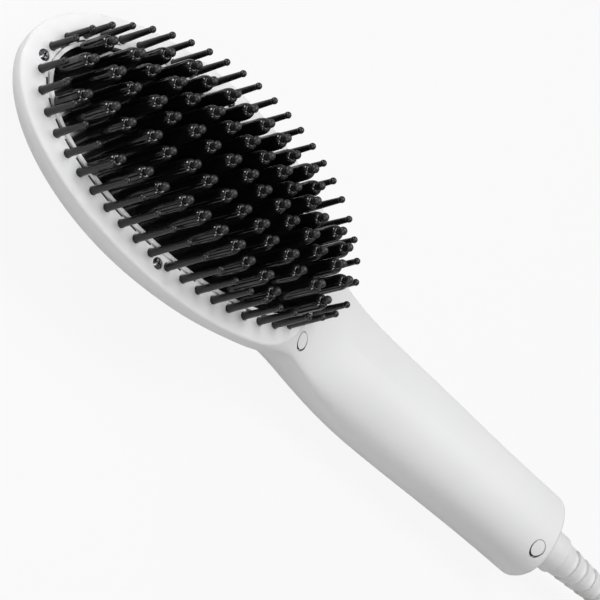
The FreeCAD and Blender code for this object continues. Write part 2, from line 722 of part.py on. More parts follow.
def make_pin_band(room):
    """Dark band under the deck that holds the feet of the thin pins, with ribs that fill the dashes."""
    outer = inset(RING, -PIN_BAND_HALF_WIDTH)
    inner = inset(RING, PIN_BAND_INNER_WIDTH)
    near = DASH_INSET + DASH_RIB_CLEARANCE
    rib_length = DASH_LENGTH - 2 * DASH_RIB_CLEARANCE
    ribs = dash_blocks(near, PIN_BAND_INNER_WIDTH, rib_length, PIN_BAND_TOP - DASH_RIB_ROOT, -DASH_RIB_SINK)
    holes = []
    for u, y in rim_screw_places():
        holes.append(rod(HEAD_X + u, y, 0, DECK_HEIGHT, RIM_SCREW_DIAMETER + 2 * RIM_SCREW_CLEARANCE))
    for u, y in pin_places():
        foot = arch_height(u, PIN_FOOT)
        holes.append(rod(HEAD_X + u, y, foot, DECK_HEIGHT, PIN_DIAMETER))
    band = oval_ring(outer, inner, PIN_BAND_BOTTOM, PIN_BAND_TOP).common(room).multiFuse(ribs)
    return band.cut(Part.Compound(holes))


def make_field_bezel():
    return oval_ring(BEZEL_OUTER, BEZEL_INNER, FLANGE_TOP, BEZEL_RISE)


def make_post(u, y, ball_height):
    """Post with a rounded head, and a bore for the stem of its tip."""
    base = arch_height(u, -FIELD_RECESS - 1)
    top = ball_height - TIP_BALL_DIAMETER / 2 - TIP_NECK_LENGTH
    rounding = (POST_BODY_DIAMETER - POST_TOP_DIAMETER) / 2
    axis = V(HEAD_X + u, y, 0)

    def at(radius, z):
        return axis + V(radius, 0, z)

    middle = at(POST_TOP_DIAMETER / 2, top - POST_ROUND_DEPTH)
    shoulder = middle + V(rounding, 0, 0)
    crown = middle + V(0, 0, POST_ROUND_DEPTH)
    foot = at(POST_BASE_DIAMETER / 2, base)
    edges = [
        Part.LineSegment(at(0, base), foot).toShape(),
        Part.LineSegment(foot, shoulder).toShape(),
        Part.ArcOfEllipse(Part.Ellipse(crown, shoulder, middle), 0, math.pi / 2).toShape(),
        Part.LineSegment(crown, at(0, top)).toShape(),
        Part.LineSegment(at(0, top), at(0, base)).toShape(),
    ]
    post = Part.Face(Part.Wire(Part.__sortEdges__(edges))).revolve(axis, Z_AXIS, 360)
    bore = TIP_STEM_DIAMETER + 2 * TIP_STEM_CLEARANCE
    post = post.cut(rod(HEAD_X + u, y, top - TIP_STEM_LENGTH - TIP_STEM_CLEARANCE, top + 1, bore))
    reach = inset(FIELD, POST_BASE_DIAMETER / 2)
    if (u / reach[0]) ** 2 + (y / reach[1]) ** 2 > 1:
        wide = inset(FIELD, -2 * POST_BASE_DIAMETER)
        post = post.cut(oval_ring(wide, FIELD, -DECK_THICKNESS, BEZEL_RISE + BEZEL_POST_GAP))
    return post


def make_heating_posts():
    return group([make_post(*place) for place in post_places()])


def make_heating_plate(posts):
    """Black plate with its flange, seats for the posts and two bosses for the clamp."""
    plate = oval_layer(FIELD, FLANGE_BOTTOM, -FIELD_RECESS)
    flange = oval_layer(FLANGE, FLANGE_BOTTOM, FLANGE_TOP)
    bosses = []
    holes = []
    for x in clamp_screw_places():
        low = arch_height(x - HEAD_X, MICA_BOTTOM)
        boss = rod(x, 0, 0, DECK_HEIGHT, CLAMP_BOSS_DIAMETER)
        bosses.append(boss.common(arch_slab(MICA_BOTTOM, FLANGE_TOP)))
        holes.append(rod(x, 0, low - 1, low + HEATER_THICKNESS, CLAMP_SCREW_DIAMETER))
    solid = plate.multiFuse([flange] + bosses)
    return solid.cut(Part.Compound(holes)).cut(posts)


def make_post_tips():
    tips = []
    ball = TIP_BALL_DIAMETER / 2
    for u, y, height in post_places():
        seat = height - ball - TIP_NECK_LENGTH
        sphere = Part.makeSphere(ball, V(HEAD_X + u, y, height))
        neck = rod(HEAD_X + u, y, seat, height, TIP_NECK_DIAMETER)
        stem = rod(HEAD_X + u, y, seat - TIP_STEM_LENGTH, height, TIP_STEM_DIAMETER)
        tips.append(sphere.multiFuse([neck, stem]))
    return group(tips)


def make_heater_carrier(room):
    """Frame under the plate's flange that the rim screws pull up against the deck."""
    outer = inset(RING, -PIN_BAND_HALF_WIDTH)
    base = oval_ring(outer, inset(outer, CARRIER_WIDTH), CARRIER_BOTTOM, FLANGE_BOTTOM)
    wall = oval_ring(outer, inset(FLANGE, -CARRIER_GAP), FLANGE_BOTTOM, PIN_BAND_BOTTOM)
    layer = arch_slab(FLANGE_BOTTOM, PIN_BAND_BOTTOM)
    clear = oval_prism(inset(FLANGE, -CARRIER_GAP), 0, FAR / 4)
    lugs = []
    holes = []
    for u, y in rim_screw_places():
        lugs.append(rod(HEAD_X + u, y, 0, DECK_HEIGHT, RIM_LUG_DIAMETER).common(layer).cut(clear))
        holes.append(rod(HEAD_X + u, y, arch_height(u, FLANGE_BOTTOM), DECK_HEIGHT, RIM_SCREW_DIAMETER))
    return base.multiFuse([wall] + lugs).common(room).cut(Part.Compound(holes))


def make_rim_screws():
    screws = []
    for u, y in rim_screw_places():
        x = HEAD_X + u
        seat = arch_height(u) - RIM_SCREW_SINK
        tip = arch_height(u, FLANGE_BOTTOM)
        top = seat + RIM_SCREW_HEAD_HEIGHT
        radius = RIM_SCREW_HEAD_DIAMETER / 2
        height = RIM_SCREW_HEAD_HEIGHT
        profile = [(0, 0), (radius, 0), (radius, height * 0.5), (radius * 0.6, height), (0, height)]
        head = turned(profile, V(x, y, seat), Z_AXIS)
        shank = rod(x, y, tip, seat, RIM_SCREW_DIAMETER)
        reach = CROSS_LENGTH / 2
        half = CROSS_WIDTH / 2
        low = top - CROSS_DEPTH
        slot_a = box(x - reach, x + reach, y - half, y + half, low, top + 1)
        slot_b = box(x - half, x + half, y - reach, y + reach, low, top + 1)
        screws.append(head.fuse(shank).cut(slot_a.fuse(slot_b)))
    return group(screws)


def heater_block(low, high, length, width, y):
    block = box(HEAD_X - length / 2, HEAD_X + length / 2, y - width / 2, y + width / 2, 0, DECK_HEIGHT)
    return block.common(arch_slab(low, high))


def clamp_screw_places():
    reach = HEATER_LENGTH / 2 + CLAMP_SCREW_OVERHANG
    return [HEAD_X - reach, HEAD_X + reach]


def make_heater_strips():
    strips = []
    for side in (1, -1):
        y = side * HEATER_SPACING / 2
        strips.append(heater_block(HEATER_BOTTOM, FLANGE_BOTTOM, HEATER_LENGTH, HEATER_WIDTH, y))
    return group(strips)


def make_mica_sheet():
    width = HEATER_SPACING + HEATER_WIDTH
    return heater_block(MICA_BOTTOM, HEATER_BOTTOM, HEATER_LENGTH, width, 0)


def make_heater_clamp():
    """Spring plate that presses the heaters up, with a tongue to a screw at each end."""
    width = HEATER_SPACING + HEATER_WIDTH + 2 * CLAMP_EDGE
    tongue = HEATER_LENGTH + 2 * CLAMP_SCREW_OVERHANG + CLAMP_BOSS_DIAMETER
    plate = heater_block(CLAMP_BOTTOM, MICA_BOTTOM, HEATER_LENGTH, width, 0)
    strip = heater_block(CLAMP_BOTTOM, MICA_BOTTOM, tongue, CLAMP_BOSS_DIAMETER + CLAMP_EDGE, 0)
    holes = [rod(x, 0, 0, DECK_HEIGHT, CLAMP_SCREW_DIAMETER) for x in clamp_screw_places()]
    return plate.fuse(strip).cut(Part.Compound(holes))


def make_clamp_screws():
    screws = []
    for x in clamp_screw_places():
        seat = arch_height(x - HEAD_X, CLAMP_BOTTOM) - CLAMP_SCREW_SLACK
        top = arch_height(x - HEAD_X, MICA_BOTTOM) + HEATER_THICKNESS
        head = rod(x, 0, seat - CLAMP_SCREW_HEAD_HEIGHT, seat, CLAMP_SCREW_HEAD_DIAMETER)
        screws.append(head.fuse(rod(x, 0, seat, top, CLAMP_SCREW_DIAMETER)))
    return group(screws)


def make_thermistor():
    base = arch_height(0, CLAMP_BOTTOM) - 0.05
    radius = THERMISTOR_DIAMETER / 2
    bead = rod(HEAD_X, 0, base - radius, base, THERMISTOR_DIAMETER)
    return bead.fuse(Part.makeSphere(radius, V(HEAD_X, 0, base - radius)))


def make_thermal_fuse():
    z = arch_height(FUSE_LENGTH / 2, CLAMP_BOTTOM) - FUSE_DIAMETER / 2 - 0.1
    x = HEAD_X - FUSE_LENGTH / 2
    barrel = Part.makeCylinder(FUSE_DIAMETER / 2, FUSE_LENGTH, V(x, FUSE_OFFSET, z), X_AXIS)
    start = V(x - FUSE_LEAD_LENGTH, FUSE_OFFSET, z)
    leads = Part.makeCylinder(SENSOR_WIRE_DIAMETER / 2, FUSE_LENGTH + 2 * FUSE_LEAD_LENGTH, start, X_AXIS)
    return barrel.fuse(leads)


def make_handle_screws(form):
    screws = []
    for place, split, point in handle_screw_places():
        seat = screw_seat(form, place)
        head = rod(*place, seat, seat + HANDLE_SCREW_HEAD_HEIGHT, HANDLE_SCREW_HEAD_DIAMETER)
        screws.append(head.fuse(rod(*place, point, seat, HANDLE_SCREW_DIAMETER)))
    return group(screws)


def make_screw_plugs(form):
    """Plugs whose tops follow the casing's skin, a little below it and to one side of their holes."""
    sunk = form.copy()
    sunk.translate(V(0, 0, -PLUG_SINK))
    plugs = []
    for (x, y), split, point in handle_screw_places():
        bottom = screw_seat(form, (x, y)) + HANDLE_SCREW_HEAD_HEIGHT
        plugs.append(rod(x, y - PLUG_SHIFT, bottom, FAR / 4, PLUG_DIAMETER).common(sunk))
    return group(plugs)


def make_button(x, diameter):
    """Button cap with a flange inside the shell and a stem towards its switch."""
    face = PANEL_RECESS - BUTTON_PROUD
    cap = rod(x, 0, face, BUTTON_FLANGE_BASE, diameter)
    rim = [e for e in cap.Edges if abs(e.BoundBox.ZMax - face) < 1e-6 and e.Closed]
    cap = cap.makeFillet(BUTTON_PROUD / 2, rim)
    flange_top = BUTTON_FLANGE_BASE + BUTTON_FLANGE_THICKNESS
    flange = rod(x, 0, BUTTON_FLANGE_BASE, flange_top, diameter + 2 * BUTTON_FLANGE)
    stem = rod(x, 0, flange_top, BUTTON_STEM_TOP, BUTTON_STEM_DIAMETER)
    return cap.multiFuse([flange, stem])


def make_tact_switches():
    switches = []
    for x, diameter in button_places().values():
        half = SWITCH_SIDE / 2
        body_base = SWITCH_BASE + SWITCH_PLUNGER
        body = box(x - half, x + half, -half, half, body_base, BOARD_BASE)
        switches.append(body.fuse(rod(x, 0, SWITCH_BASE, body_base, SWITCH_PLUNGER_DIAMETER)))
    return group(switches)


def make_circuit_board():
    half = BOARD_WIDTH / 2
    board = box(BOARD_X, BOARD_X + BOARD_LENGTH, -half, half, BOARD_BASE, BOARD_TOP)
    corners = [e for e in board.Edges if abs(e.Vertexes[0].Z - e.Vertexes[-1].Z) > BOARD_THICKNESS / 2]
    board = board.makeFillet(STANDOFF_INSET / 2, corners)
    holes = [rod(x, y, 0, FAR / 4, BOARD_SCREW_DIAMETER) for x, y in standoff_places()]
    return board.cut(Part.Compound(holes))


def make_board_screws():
    screws = []
    for x, y in standoff_places():
        head = rod(x, y, BOARD_TOP, BOARD_TOP + BOARD_SCREW_HEAD_HEIGHT, BOARD_SCREW_HEAD_DIAMETER)
        screws.append(head.fuse(rod(x, y, BOARD_BASE - BOARD_SCREW_BITE, BOARD_TOP, BOARD_SCREW_DIAMETER)))
    return group(screws)


def make_display_window():
    return window_block(WINDOW_LENGTH, WINDOW_WIDTH, PANEL_RECESS, PANEL_RECESS + WINDOW_THICKNESS)


def make_display_module():
    edge = 2 * WINDOW_LEDGE + 2 * DISPLAY_CLEARANCE
    base = PANEL_RECESS + WINDOW_THICKNESS + DISPLAY_CLEARANCE
    return window_block(WINDOW_LENGTH - edge, WINDOW_WIDTH - edge, base, BOARD_BASE)


def make_power_relay():
    x = END_X + RELAY_FROM_END
    length, width, height = RELAY_SIZE
    return box(x - length / 2, x + length / 2, -width / 2, width / 2, BOARD_TOP, BOARD_TOP + height)


def make_filter_capacitor():
    x = END_X + CAPACITOR_FROM_END - CAPACITOR_LENGTH / 2
    axis = V(x, 0, BOARD_TOP + CAPACITOR_DIAMETER / 2)
    return Part.makeCylinder(CAPACITOR_DIAMETER / 2, CAPACITOR_LENGTH, axis, X_AXIS)


def terminal_front():
    return BOARD_X + 2 * STANDOFF_INSET + BOARD_SCREW_HEAD_DIAMETER / 2


def make_terminal_block():
    length, width, height = TERMINAL_SIZE
    x = terminal_front()
    return box(x, x + length, -width / 2, width / 2, BOARD_TOP, BOARD_TOP + height)


def make_swivel_bush():
    centre = V(BUSH_BACK, 0, GRIP_AXIS_HEIGHT)
    bore = SWIVEL_JOURNAL_DIAMETER / 2 + SWIVEL_RUNNING_GAP
    bush = Part.makeCylinder(BUSH_RADIUS, BUSH_LENGTH, centre, X_AXIS)
    mouth_depth = SWIVEL_COLLAR_ENTRY + SWIVEL_END_GAP
    tunnel = Part.makeCylinder(bore, BUSH_LENGTH, centre, X_AXIS)
    collar = SWIVEL_COLLAR_DIAMETER / 2 + SWIVEL_COLLAR_GAP
    overlap = Part.makeCylinder(collar, mouth_depth + WALL, V(END_X - WALL, 0, GRIP_AXIS_HEIGHT), X_AXIS)
    return bush.cut(tunnel).cut(overlap)


def make_cord_swivel():
    """Collar, journal, retaining flange, spindle and ribbed strain relief, turned in one piece."""
    collar = SWIVEL_COLLAR_DIAMETER / 2
    journal = SWIVEL_JOURNAL_DIAMETER / 2
    entry = END_X + SWIVEL_COLLAR_ENTRY
    flange = SWIVEL_FLANGE_DIAMETER / 2
    spindle = SPINDLE_DIAMETER / 2
    root = RELIEF_ROOT_DIAMETER / 2
    tip = RELIEF_TIP_DIAMETER / 2
    profile = [(0, SPINDLE_X + SPINDLE_LENGTH), (spindle, SPINDLE_X + SPINDLE_LENGTH), (spindle, SPINDLE_X)]
    profile += [(flange, SPINDLE_X), (flange, SWIVEL_FLANGE_X), (journal, SWIVEL_FLANGE_X)]
    profile += [(journal, entry), (collar, entry)]
    profile += [(collar, RELIEF_X + SWIVEL_COLLAR_ROUND), (collar - SWIVEL_COLLAR_ROUND, RELIEF_X)]
    profile += [(root, RELIEF_X)]
    step = RELIEF_LENGTH / (RELIEF_GROOVES + 1)
    for i in range(1, RELIEF_GROOVES + 1):
        x = RELIEF_X - i * step
        radius = mix(root, tip, i / (RELIEF_GROOVES + 1))
        half = RELIEF_GROOVE_WIDTH / 2
        profile += [(radius, x + half), (radius - RELIEF_GROOVE_DEPTH, x + half)]
        profile += [(radius - RELIEF_GROOVE_DEPTH, x - half), (radius, x - half)]
    profile += [(tip, CORD_EXIT_X), (0, CORD_EXIT_X)]
    return turned(profile, V(0, 0, GRIP_AXIS_HEIGHT), X_AXIS)


def slip_ring_places():
    first = SPINDLE_X + SLIP_RING_GAP
    return [first, first + SLIP_RING_WIDTH + SLIP_RING_GAP]


def make_slip_rings():
    rings = []
    for x in slip_ring_places():
        centre = V(x, 0, GRIP_AXIS_HEIGHT)
        ring = Part.makeCylinder(SLIP_RING_DIAMETER / 2, SLIP_RING_WIDTH, centre, X_AXIS)
        rings.append(ring.cut(Part.makeCylinder(SPINDLE_DIAMETER / 2, SLIP_RING_WIDTH, centre, X_AXIS)))
    return group(rings)


def holder_span():
    return SPINDLE_X + SWIVEL_END_GAP, SPINDLE_X + SPINDLE_LENGTH


def make_contact_holder(room):
    x0, x1 = holder_span()
    half = HOLDER_WIDTH / 2
    return box(x0, x1, -half, half, FLOOR_TOP, FLOOR_TOP + HOLDER_HEIGHT).common(room)


def make_contact_springs():
    """Flat brass leaves that stand beside the slip rings."""
    leaves = []
    inner = SLIP_RING_DIAMETER / 2 + CONTACT_GAP
    for side, x in zip((1, -1), slip_ring_places()):
        middle = x + SLIP_RING_WIDTH / 2
        y0, y1 = sorted((side * inner, side * (inner + CONTACT_THICKNESS)))
        top = GRIP_AXIS_HEIGHT + CONTACT_WIDTH
        half = CONTACT_WIDTH / 2
        leaves.append(box(middle - half, middle + half, y0, y1, FLOOR_TOP + HOLDER_HEIGHT, top))
    return group(leaves)


def make_mains_wires():
    wires = []
    x0, x1 = holder_span()
    start_x = (x0 + x1) / 2
    level = BOARD_TOP + TERMINAL_SIZE[2] / 2
    for side in (1, -1):
        y = side * (HOLDER_WIDTH / 2 - MAINS_WIRE_DIAMETER)
        bottom = FLOOR_TOP + HOLDER_HEIGHT
        points = [(start_x, y, bottom), (start_x, y, level), (terminal_front(), y, level)]
        wires.append(tube(points, MAINS_WIRE_DIAMETER, "mains wire"))
    return group(wires)


def make_heater_wires():
    wires = []
    x0 = BOARD_X + BOARD_LENGTH - 3 * STANDOFF_INSET
    x1 = HEAD_X - HEATER_LENGTH / 2
    top = arch_height(HEATER_LENGTH / 2, (HEATER_BOTTOM + FLANGE_BOTTOM) / 2)
    for side in (1, -1):
        y0 = side * BOARD_WIDTH / 5
        y1 = side * HEATER_SPACING / 2
        points = [
            (x0, y0, BOARD_TOP),
            (x0, y0, BOARD_TOP + 6),
            (x0 + 12, y0, BOARD_TOP + 6),
            (mix(x0, x1, 0.5), mix(y0, y1, 0.5), mix(BOARD_TOP, top, 0.45)),
            (x1 - 14, y1, top - 4.5),
            (x1, y1, top),
        ]
        wires.append(tube(points, HEATER_WIRE_DIAMETER, "heater wire"))
    return group(wires)


def make_sensor_wires():
    """Leads from the board to the thermistor, under the clamp."""
    x0 = BOARD_X + BOARD_LENGTH - 2 * STANDOFF_INSET
    x1 = HEAD_X - THERMISTOR_DIAMETER / 2
    level = arch_height(0, CLAMP_BOTTOM) - THERMISTOR_DIAMETER / 2
    points = [
        (x0, 0, BOARD_TOP),
        (x0, 0, BOARD_TOP + 3),
        (x0 + 10, 0, BOARD_TOP + 4),
        (mix(x0, x1, 0.5), 0, BOARD_TOP + 4),
        (x1 - 20, 0, level - 1),
        (x1 + THERMISTOR_DIAMETER / 2, 0, level),
    ]
    return tube(points, SENSOR_WIRE_DIAMETER, "sensor wire").cut(make_thermistor())


CORD_Z = CORD_DIAMETER / 2 + CORD_FLOOR_GAP
COIL_CENTRE = (CORD_EXIT_X - COIL_FROM_EXIT, 0.0)
COIL_TURNS = 2 * COIL_TURNS_PER_LAYER + 0.5


def lead_points():
    """Route from the strain relief down to the floor and round to where the coil starts."""
    start = coil_point(0)
    before = start - coil_tangent(0) * CORD_STRAIGHT

    def at(run, aside, drop):
        x = mix(CORD_EXIT_X, before.x, run)
        return (x, before.y * aside, mix(GRIP_AXIS_HEIGHT, CORD_Z, drop))

    points = [at(0, 0, 0), at(0.165, 0, 0), at(0.36, 0.15, 0.38), at(0.56, 0.48, 0.85)]
    return points + [at(0.76, 0.83, 1), at(1, 1, 1), (start.x, start.y, CORD_Z)]


def coil_point(turn):
    """Centre line of the coil: in along the lower layer, up a layer in half a turn, out along the upper."""
    from_turn_back = turn - COIL_TURNS / 2
    radius = COIL_INNER_RADIUS + COIL_PITCH * (math.hypot(from_turn_back, COIL_TURN_BACK) - COIL_TURN_BACK)
    climb = min(1.0, max(0.0, turn - COIL_TURNS_PER_LAYER) / 0.5)
    rise = COIL_LAYER_RISE * (1 - math.cos(math.pi * climb)) / 2
    angle = -math.pi / 2 - 2 * math.pi * turn
    cx, cy = COIL_CENTRE
    return V(cx + radius * math.cos(angle), cy + radius * math.sin(angle), CORD_Z + rise)


def coil_tangent(turn):
    step = 1e-4
    return (coil_point(turn + step) - coil_point(turn - step)).normalize()


def tail_points():
    """Route from the end of the coil's upper layer to the plug, which lies on the floor."""
    start = coil_point(COIL_TURNS)
    after = start + coil_tangent(COIL_TURNS) * CORD_STRAIGHT
    plug_axis = PLUG_FACE_DIAMETER / 2 + PLUG_FLOOR_GAP

    def at(run, aside, rise):
        return (after.x + run * TAIL_RUN, after.y - aside * TAIL_ASIDE, mix(start.z, plug_axis, rise))

    points = [(start.x, start.y, start.z), at(0, 0, 0), at(0.35, 0.16, 0.5)]
    return points + [at(0.7, 0.53, 1), at(1, 1, 1)]


def biarc(p0, t0, p1, t1):
    """Two arcs that leave p0 along t0 and reach p1 along t1."""
    chord = p1 - p0
    total = t0 + t1
    denominator = 2 * (1 - t0.dot(t1))
    product = chord.dot(total)
    if abs(denominator) < 1e-9:
        reach = chord.dot(chord) / (4 * chord.dot(t1))
    else:
        root = math.sqrt(product * product + denominator * chord.dot(chord))
        reach = (-product + root) / denominator
    joint = (p0 + p1 + (t0 - t1) * reach) * 0.5

    def arc(start, tangent, end):
        span = end - start
        normal = span - tangent * span.dot(tangent)
        if normal.Length < 1e-7:
            return Part.LineSegment(start, end).toShape()
        radius = span.dot(span) / (2 * normal.Length)
        centre = start + normal.normalize() * radius
        middle = centre + ((start + end) * 0.5 - centre).normalize() * radius
        return Part.Arc(start, middle, end).toShape()

    return [arc(p0, t0, joint), arc(p1, t1 * -1, joint)]


def make_cord_coil():
    """One unbroken tube through every turn of the coil."""
    count = int(round(COIL_TURNS * 360 / COIL_SPAN_DEGREES))
    marks = [COIL_TURNS * i / count for i in range(count + 1)]
    edges = []
    for first, last in zip(marks, marks[1:]):
        edges += biarc(coil_point(first), coil_tangent(first), coil_point(last), coil_tangent(last))
    wire = Part.Wire(Part.__sortEdges__(edges))
    circle = Part.makeCircle(CORD_DIAMETER / 2, coil_point(0), coil_tangent(0))
    shell = Part.BRepOffsetAPI.MakePipeShell(wire)
    shell.add(Part.Wire([circle]))
    shell.build()
    shell.makeSolid()
    solid = shell.shape()
    expected = math.pi * CORD_DIAMETER ** 2 / 4 * wire.Length
    print("coil length", round(wire.Length, 1), "volume ratio", round(solid.Volume / expected, 4))
    print("coil least gap to itself", round(coil_gap() - CORD_DIAMETER, 2))
    return solid


def coil_gap(samples_per_turn=72):
    """Least distance between centre lines of turns that lie beside or on each other."""
    total = int(COIL_TURNS * samples_per_turn)
    points = [coil_point(i / samples_per_turn) for i in range(total + 1)]
    apart = samples_per_turn // 2
    least = FAR
    for i in range(len(points)):
        for j in range(i + apart, len(points)):
            least = min(least, points[i].distanceToPoint(points[j]))
    return least


def make_coil_tie():
    """Soft band round the turns at one side of the coil."""
    cx, cy = COIL_CENTRE
    clear = CORD_DIAMETER / 2 + TIE_GAP
    outermost = max(abs(coil_point(0.25).x - cx), abs(coil_point(COIL_TURNS - 0.25).x - cx))
    x0 = cx - outermost - clear
    half = TIE_WIDTH / 2
    x1 = cx - math.sqrt(COIL_INNER_RADIUS ** 2 - half ** 2) + clear
    z0 = CORD_Z - clear
    z1 = CORD_Z + COIL_LAYER_RISE + clear

    def loop(grow):
        block = box(x0 - grow, x1 + grow, cy - half, cy + half, z0 - grow, z1 + grow)
        corners = [e for e in block.Edges if abs(e.Vertexes[0].Y - e.Vertexes[-1].Y) > half]
        return block.makeFillet(TIE_ROUND + grow, corners)

    return loop(TIE_THICKNESS).cut(loop(0.0))


def plug_frame():
    """Point and heading where the plug's body starts on the tail."""
    points = [V(*p) for p in tail_points()]
    return points[-1], (points[-1] - points[-2]).normalize()


def make_plug_body():
    base, heading = plug_frame()
    neck = CORD_DIAMETER / 2 + 1.2
    body = PLUG_BODY_DIAMETER / 2
    face = PLUG_FACE_DIAMETER / 2
    profile = [(0, 0), (neck, 0), (neck + 0.6, 6), (body - 1, 10), (body, 13), (body, PLUG_BODY_LENGTH - 8)]
    profile += [(face - 1, PLUG_BODY_LENGTH - 5), (face, PLUG_BODY_LENGTH - 4), (face, PLUG_BODY_LENGTH)]
    solid = turned(profile + [(0, PLUG_BODY_LENGTH)], V(0, 0, 0), X_AXIS)
    solid.Placement = FreeCAD.Placement(base, FreeCAD.Rotation(X_AXIS, heading))
    return solid


def make_plug_pins():
    base, heading = plug_frame()
    pins = []
    for side in (1, -1):
        start = V(PLUG_BODY_LENGTH, side * PLUG_PIN_SPACING / 2, 0)
        pin = Part.makeCylinder(PLUG_PIN_DIAMETER / 2, PLUG_PIN_LENGTH, start, X_AXIS)
        ball = Part.makeSphere(PLUG_PIN_DIAMETER / 2, start + X_AXIS * PLUG_PIN_LENGTH)
        pin = pin.fuse(ball)
        pin.Placement = FreeCAD.Placement(base, FreeCAD.Rotation(X_AXIS, heading))
        pins.append(pin)
    return group(pins)


def build():
    form, front, back = make_casing()
    room = casing_form(WALL + ROOM_GAP)
    posts = make_heating_posts()
    nodes = {
        "front_shell": finish_front_shell(form, front),
        "back_shell": finish_back_shell(back),
        "thin_pins": make_thin_pins(),
        "pin_band": make_pin_band(room),
        "field_bezel": make_field_bezel(),
        "heating_plate": make_heating_plate(posts),
        "heating_posts": posts,
        "post_tips": make_post_tips(),
        "heater_carrier": make_heater_carrier(room),
        "rim_screws": make_rim_screws(),
        "heater_strips": make_heater_strips(),
        "mica_sheet": make_mica_sheet(),
        "heater_clamp": make_heater_clamp(),
        "clamp_screws": make_clamp_screws(),
        "thermistor": make_thermistor(),
        "thermal_fuse": make_thermal_fuse(),
        "handle_screws": make_handle_screws(form),
        "screw_plugs": make_screw_plugs(form),
        "tact_switches": make_tact_switches(),
        "circuit_board": make_circuit_board(),
        "board_screws": make_board_screws(),
        "display_window": make_display_window(),
        "display_module": make_display_module(),
        "power_relay": make_power_relay(),
        "filter_capacitor": make_filter_capacitor(),
        "terminal_block": make_terminal_block(),
        "swivel_bush": make_swivel_bush(),
        "cord_swivel": make_cord_swivel(),
        "slip_rings": make_slip_rings(),
        "contact_holder": make_contact_holder(room),
        "contact_springs": make_contact_springs(),
        "mains_wires": make_mains_wires(),
        "heater_wires": make_heater_wires(),
        "sensor_wires": make_sensor_wires(),
        "cord_lead": tube(lead_points(), CORD_DIAMETER, "cord lead"),
        "cord_coil": make_cord_coil(),
        "cord_tail": tube(tail_points(), CORD_DIAMETER, "cord tail"),
        "coil_tie": make_coil_tie(),
        "plug_body": make_plug_body(),
        "plug_pins": make_plug_pins(),
    }
    for name, (x, diameter) in button_places().items():
        nodes[name] = make_button(x, diameter)
    return nodes


os.makedirs("parts", exist_ok=True)
for node, shape in build().items():
    shape.exportStep("parts/" + node + ".step")
    box_size = shape.BoundBox
    print(node, len(shape.Solids), shape.isValid(), round(shape.Volume, 1), [round(c, 1) for c in (
        box_size.XMin, box_size.XMax, box_size.YMin, box_size.YMax, box_size.ZMin, box_size.ZMax)])
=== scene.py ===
"""Looks of the heated straightening brush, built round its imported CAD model. Lengths are in metres."""

import json
import math

import bmesh
import bpy
from mathutils import Matrix, Vector


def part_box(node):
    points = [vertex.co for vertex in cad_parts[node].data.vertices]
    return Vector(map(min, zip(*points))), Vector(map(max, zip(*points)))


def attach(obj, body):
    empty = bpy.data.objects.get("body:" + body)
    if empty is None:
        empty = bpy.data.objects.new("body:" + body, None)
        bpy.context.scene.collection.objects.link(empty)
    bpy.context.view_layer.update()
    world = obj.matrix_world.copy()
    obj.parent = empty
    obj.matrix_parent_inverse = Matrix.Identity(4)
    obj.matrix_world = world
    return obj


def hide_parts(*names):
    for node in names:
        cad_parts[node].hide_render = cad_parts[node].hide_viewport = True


MM = 0.001

# Camera that the photograph was taken with, in the model's frame
CAMERA_PLACE = (0.4377, 0.4394, 0.6545)
CAMERA_RIGHT = (-0.6506, -0.3339, 0.6820)
CAMERA_UP = (0.5779, -0.8004, 0.1595)
CAMERA_LENS = 180.0
CAMERA_SENSOR = 36.0

# Route of the mains lead, as in the part's source
CORD_DIAMETER = 6.0 * MM
CORD_EXIT = Vector((-168.7, 0.0, 13.0)) * MM
CORD_Z = 3.85 * MM
COIL_CENTRE = (-268.7 * MM, 0.0)
COIL_INNER_RADIUS = 24.0 * MM
COIL_PITCH = 6.9 * MM
COIL_LAYER_RISE = 6.5 * MM
COIL_TURNS_PER_LAYER = 3
COIL_TURNS = 2 * COIL_TURNS_PER_LAYER + 0.5
COIL_CLIMB_TURNS = 0.5
COIL_TURN_BACK = 0.12
COIL_POINTS_PER_TURN = 24
CORD_STRAIGHT = 15.0 * MM
TAIL_RUN = 57.0 * MM
TAIL_ASIDE = 9.5 * MM
PLUG_AXIS_HEIGHT = 13.05 * MM

# Fineness of the lead's mesh, and the part of a turn over which the coil's direction is taken
CORD_ROUND_STEPS = 6
CORD_RUN_STEPS = 6
TANGENT_TURN = 1e-4

# Strap round the coil
STRAP_THICKNESS = 0.5 * MM
STRAP_INSET = 0.02 * MM
STRAP_CORNER_RADIUS = 2.4 * MM
STRAP_CORNER_STEPS = 6
STRAP_EDGE_ROUND = 0.12 * MM

# Signs printed on the buttons, with the power ring's angles in degrees
SIGN_REACH = 1.5 * MM
SIGN_WIDTH = 0.45 * MM
SIGN_RISE = 0.03 * MM
POWER_RING_RADIUS = 1.9 * MM
POWER_RING_START = 40.0
POWER_RING_SWEEP = 280.0
POWER_RING_STEPS = 24
POWER_STEM = (0.7 * MM, 2.4 * MM)

# Unlit figures of the display
FIGURE_PITCH = 5.6 * MM
FIGURE_HALF_WIDTH = 1.7 * MM
FIGURE_HALF_HEIGHT = 2.89 * MM
SEGMENT_GAP = 0.25 * MM
SEGMENT_WIDTH = 0.5 * MM
SEGMENT_RISE = 0.06 * MM

# Depth to which the print's strokes reach into the face that carries them
PRINT_ROOT = 0.05 * MM

# Colours that more than one material has
CASING_WHITE = (0.83, 0.83, 0.835)
LEAD_WHITE = (0.78, 0.78, 0.77)
BRISTLE_BLACK = (0.012, 0.012, 0.013)

# Reflection of the casing and of the black bristles, where 0.5 is that of plain clear plastic
CASING_SHINE = 0.35
BLACK_SHINE = 0.42
COATING_IOR = 1.65

